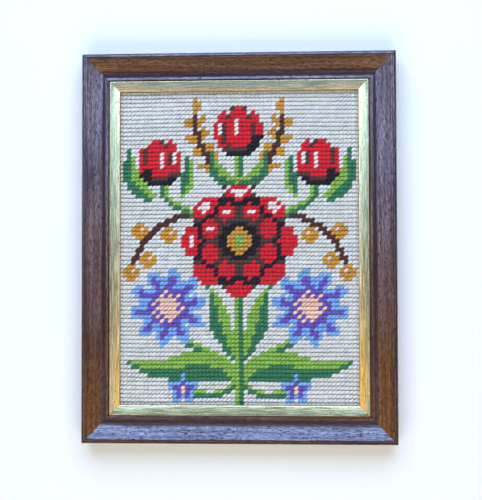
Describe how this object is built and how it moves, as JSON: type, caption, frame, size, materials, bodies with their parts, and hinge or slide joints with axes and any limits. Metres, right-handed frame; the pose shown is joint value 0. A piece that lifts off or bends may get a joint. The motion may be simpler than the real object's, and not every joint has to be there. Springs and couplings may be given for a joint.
{
  "type": "needlepoint canvas panel in a wooden picture frame",
  "caption": "Flat needlepoint canvas stretched in a dark hollow-section wood picture frame with a sloped gilt slip, lying on its back.",
  "frame": {"origin": "centre of the frame's flat back, on the surface it lies on", "axes": "+X to the picture's right, +Y to the picture's top, +Z out of the stitched face"},
  "size_m": [0.1898, 0.2354, 0.0185],
  "materials": {
    "stained_wood": "dark walnut stain under a satin lacquer",
    "tapestry_wool": "wool half-cross stitches on ten-count canvas",
    "gilt": "pale gold leaf, lightly flecked"
  },
  "bodies": {
    "root": {"moulding_bottom": "stained_wood", "moulding_left": "stained_wood", "moulding_right": "stained_wood", "moulding_top": "stained_wood", "needlepoint_canvas": "tapestry_wool", "slip_bottom": "gilt", "slip_left": "gilt", "slip_right": "gilt", "slip_top": "gilt"}
  },
  "joints": []
}
